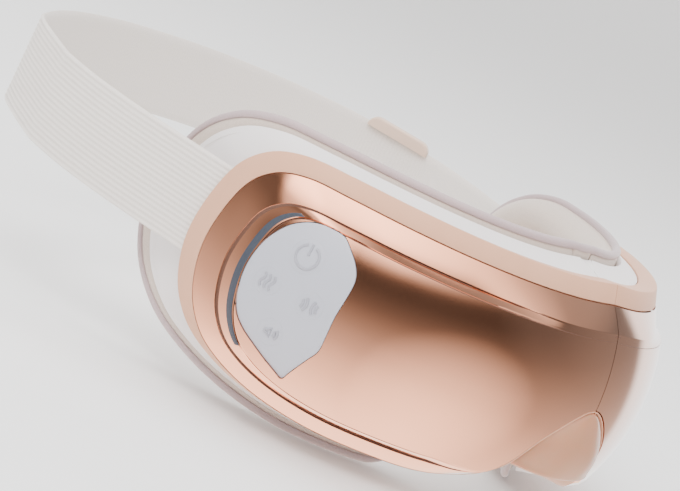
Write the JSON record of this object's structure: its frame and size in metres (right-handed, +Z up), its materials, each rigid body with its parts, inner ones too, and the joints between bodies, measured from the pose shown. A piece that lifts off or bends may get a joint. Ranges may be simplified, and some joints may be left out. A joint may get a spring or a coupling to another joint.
{
  "type": "eye massager",
  "caption": "Foldable wrap-around eye massager with padded face side, control panel, nose piece and elastic head strap.",
  "frame": {"origin": "on the fold axis at the middle of the mask, at half the height of the front covers, where the face side is held", "axes": "+X to the wearer's left, +Y from the front covers to the back of the head, +Z up along the fold axis"},
  "size_m": [0.2236, 0.2265, 0.0886],
  "materials": {
    "cover_metallic": "rose gold metallic lacquer, smooth and glossy",
    "frame_peach": "fine matte moulded plastic",
    "housing_white": "fine matte moulded plastic",
    "pad_leather": "soft protein leather with fine grain",
    "piping_leather": "smooth leather piping",
    "lining_fabric": "fine knitted lining",
    "airbag_film": "thin welded film",
    "heater_film": "flexible heating film",
    "nose_silicone": "translucent soft silicone",
    "panel_grey": "satin moulded plastic",
    "light_strip": "smoked light guide",
    "steel": "bright steel",
    "board_green": "circuit board",
    "dark_plastic": "dark moulded plastic",
    "battery_foil": "foil pouch",
    "hose_clear": "soft hose",
    "cable_black": "flexible cable",
    "strap_elastic": "ribbed elastic webbing",
    "slider_peach": "satin moulded plastic",
    "brass_weight": "plain turned brass"
  },
  "bodies": {
    "right_half": {"front_cover_right": "cover_metallic", "mid_frame_right": "frame_peach", "inner_shell_right": "housing_white", "face_pad_right": "pad_leather", "piping_right": "piping_leather", "pad_lining_right": "lining_fabric", "airbag_right": "airbag_film", "heating_film_right": "heater_film", "bridge_pad": "pad_leather", "nose_piece": "nose_silicone", "hinge_leaf_right": "housing_white", "hinge_pin": "steel", "control_panel": "panel_grey", "key_board": "board_green", "key_switches": "dark_plastic", "light_guide": "light_strip", "main_board": "board_green", "battery": "battery_foil", "usb_socket": "steel", "speaker": "dark_plastic", "vibration_motor_right": "steel", "air_hose_right": "hose_clear", "hinge_cable": "cable_black", "strap_bar_right": "steel", "strap": "strap_elastic", "hinge_screws_right": "steel", "shell_screws_right": "steel"},
    "left_half": {"front_cover_left": "cover_metallic", "mid_frame_left": "frame_peach", "inner_shell_left": "housing_white", "face_pad_left": "pad_leather", "piping_left": "piping_leather", "pad_lining_left": "lining_fabric", "airbag_left": "airbag_film", "heating_film_left": "heater_film", "hinge_leaf_left": "housing_white", "vibration_motor_left": "steel", "pump_motor": "steel", "pump_head": "housing_white", "valve_body": "steel", "air_hose_left": "hose_clear", "strap_bar_left": "steel", "hinge_screws_left": "steel", "shell_screws_left": "steel"},
    "power_button": {"power_key": "panel_grey"},
    "heat_button": {"heat_key": "panel_grey"},
    "massage_button": {"massage_key": "panel_grey"},
    "sound_button": {"sound_key": "panel_grey"},
    "right_vibration_rotor": {"vibration_weight_right": "brass_weight"},
    "left_vibration_rotor": {"vibration_weight_left": "brass_weight"},
    "pump_rotor": {"pump_cam": "slider_peach"},
    "valve_core": {"valve_plunger": "dark_plastic"},
    "slider": {"strap_slider": "slider_peach"}
  },
  "joints": [
    {"name": "fold", "type": "hinge", "parent": "right_half", "child": "left_half", "pos_m": [0, 0, 0], "axis": [0, 0, 1], "range_deg": [0, 70], "deforming": ["strap", "nose_piece", "bridge_pad", "hinge_cable", "air_hose_right"]},
    {"name": "power_press", "type": "slide", "parent": "right_half", "child": "power_button", "axis": [0.9324, 0.3615, 0], "range_m": [0, 0.0004], "stiffness_N_per_m": 1200, "springref_m": -0.0004},
    {"name": "heat_press", "type": "slide", "parent": "right_half", "child": "heat_button", "axis": [0.9324, 0.3615, 0], "range_m": [0, 0.0004], "stiffness_N_per_m": 1200, "springref_m": -0.0004},
    {"name": "massage_press", "type": "slide", "parent": "right_half", "child": "massage_button", "axis": [0.9324, 0.3615, 0], "range_m": [0, 0.0004], "stiffness_N_per_m": 1200, "springref_m": -0.0004},
    {"name": "sound_press", "type": "slide", "parent": "right_half", "child": "sound_button", "axis": [0.9324, 0.3615, 0], "range_m": [0, 0.0004], "stiffness_N_per_m": 1200, "springref_m": -0.0004},
    {"name": "right_vibration_spin", "type": "hinge", "parent": "right_half", "child": "right_vibration_rotor", "pos_m": [-0.07564, 0.03694, 0.009], "axis": [0, 0, 1], "continuous": true},
    {"name": "left_vibration_spin", "type": "hinge", "parent": "left_half", "child": "left_vibration_rotor", "pos_m": [0.07564, 0.03694, 0.009], "axis": [0, 0, 1], "continuous": true},
    {"name": "pump_spin", "type": "hinge", "parent": "left_half", "child": "pump_rotor", "pos_m": [0.05472, 0.01466, -0.016], "axis": [0, 0, 1], "continuous": true},
    {"name": "valve_stroke", "type": "slide", "parent": "left_half", "child": "valve_core", "axis": [0, 0, -1], "range_m": [0, 0.001], "stiffness_N_per_m": 300, "springref_m": -0.0005},
    {"name": "slider_travel", "type": "slide", "parent": "left_half", "child": "slider", "axis": [-0.4826, 0.8728, 0.0723], "range_m": [-0.008, 0.008], "deforming": ["strap"]}
  ]
}
